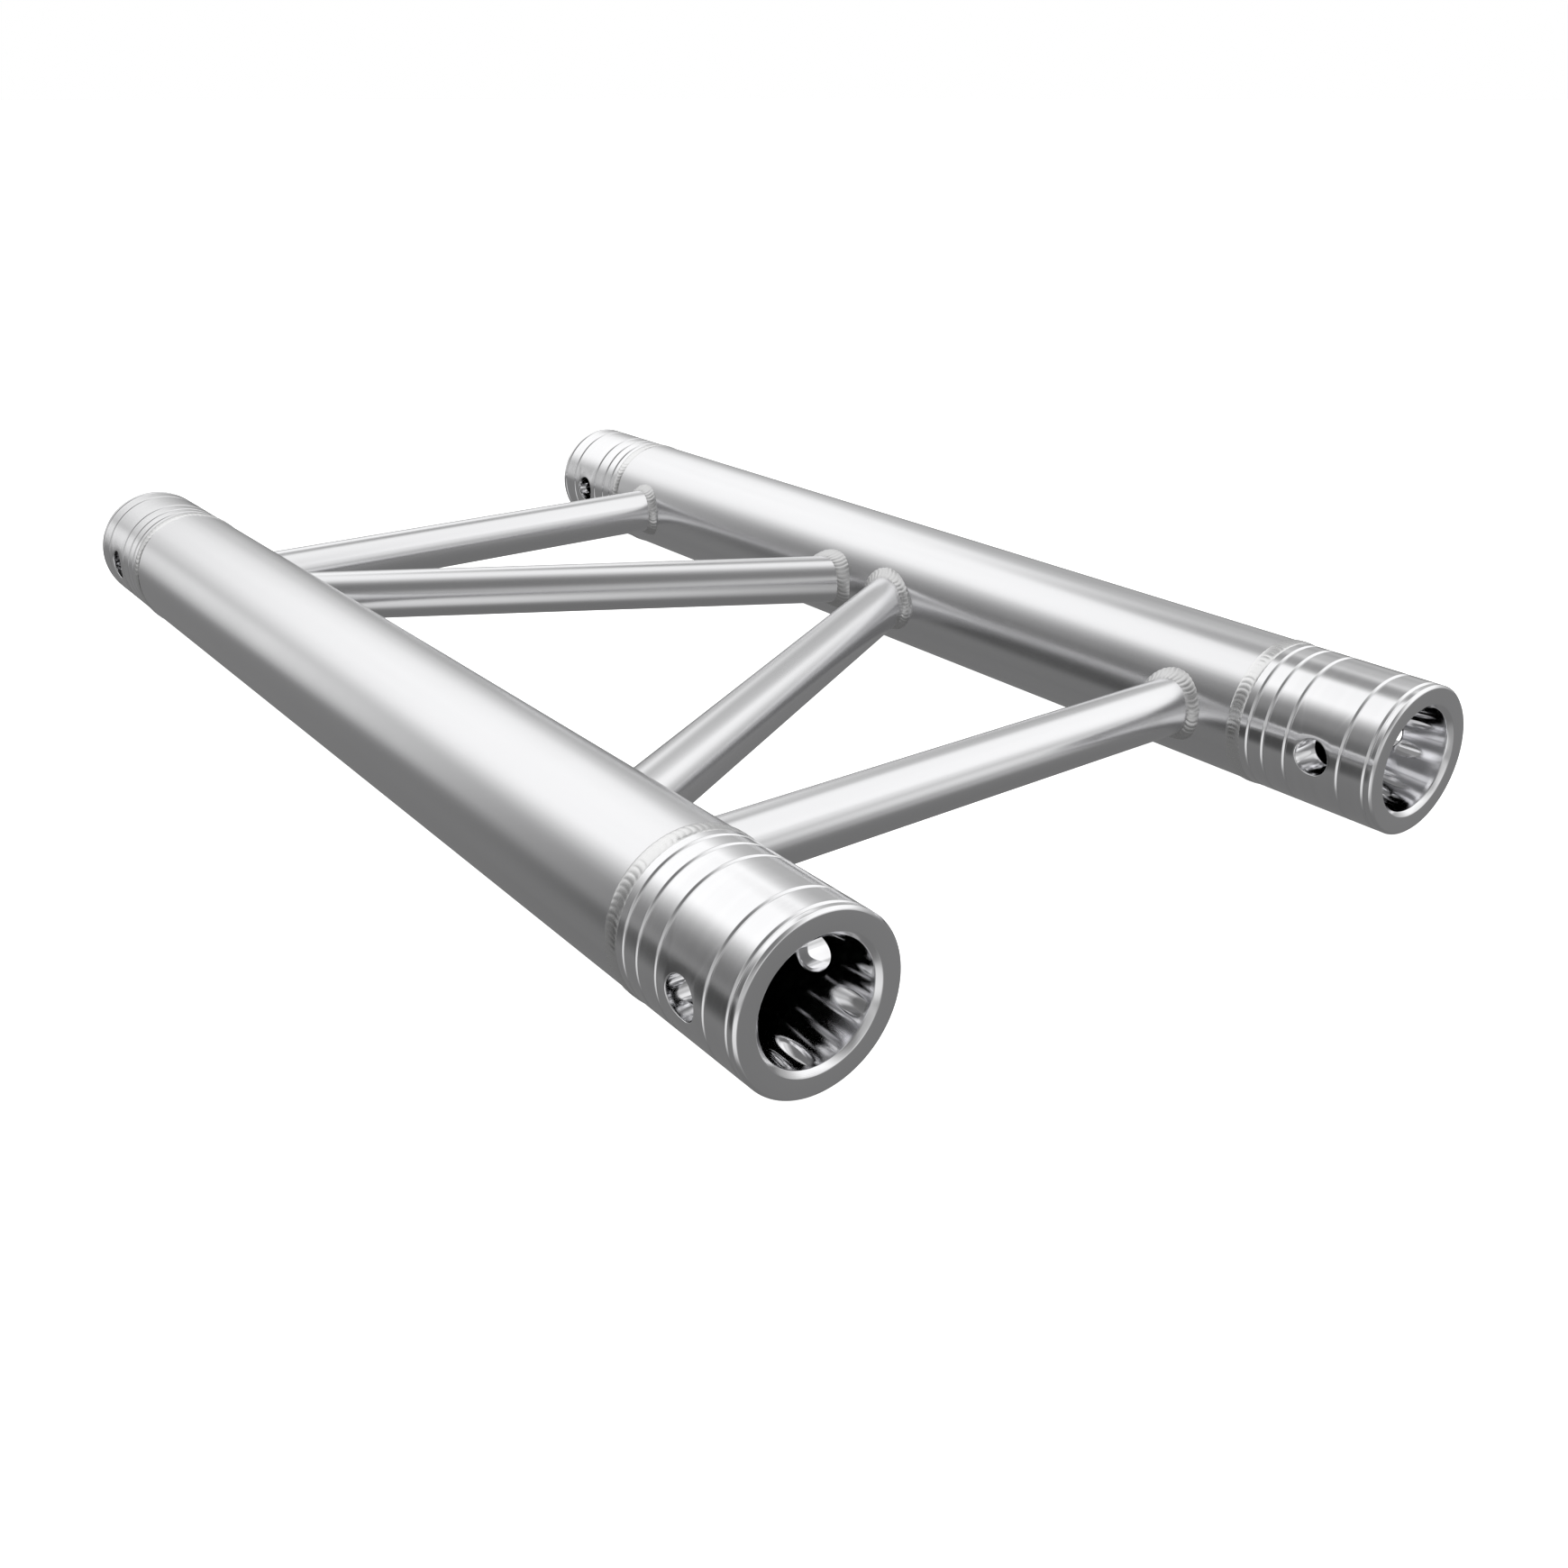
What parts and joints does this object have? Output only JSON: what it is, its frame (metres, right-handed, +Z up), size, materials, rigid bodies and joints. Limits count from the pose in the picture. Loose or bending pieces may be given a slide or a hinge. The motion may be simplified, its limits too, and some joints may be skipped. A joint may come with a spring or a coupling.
{
  "type": "lighting truss section",
  "caption": "Short ladder truss section in aluminium tube, with perpendicular and diagonal braces and a conical pinned socket in each chord end.",
  "frame": {"origin": "centre of the section: mid-length, midway between the chord axes, in the plane of the chord axes", "axes": "+X along the chords, +Y from the front chord to the rear one, which the diagonals' apex is on, +Z up, square to the plane of the truss"},
  "size_m": [0.5, 0.2908, 0.0508],
  "materials": {
    "chord_tube": "mill-finish extrusion, satin, with fine lengthwise drawing lines",
    "brace_tube": "mill-finish extrusion, satin, with fine lengthwise drawing lines",
    "sleeve": "turned, brighter than the tube, with fine tool marks round it",
    "weld": "as-welded rippled bead, pale and matt"
  },
  "bodies": {
    "root": {"chord_tube_front": "chord_tube", "chord_tube_rear": "chord_tube", "end_sleeve_front_left": "sleeve", "end_sleeve_front_right": "sleeve", "end_sleeve_rear_left": "sleeve", "end_sleeve_rear_right": "sleeve", "cross_brace_left": "brace_tube", "cross_brace_right": "brace_tube", "diagonal_brace_left": "brace_tube", "diagonal_brace_right": "brace_tube", "sleeve_weld_front_left": "weld", "sleeve_weld_front_right": "weld", "sleeve_weld_rear_left": "weld", "sleeve_weld_rear_right": "weld", "cross_brace_weld_front_left": "weld", "cross_brace_weld_front_right": "weld", "cross_brace_weld_rear_left": "weld", "cross_brace_weld_rear_right": "weld", "diagonal_brace_weld_front_left": "weld", "diagonal_brace_weld_front_right": "weld", "diagonal_brace_weld_rear_left": "weld", "diagonal_brace_weld_rear_right": "weld"}
  },
  "joints": []
}
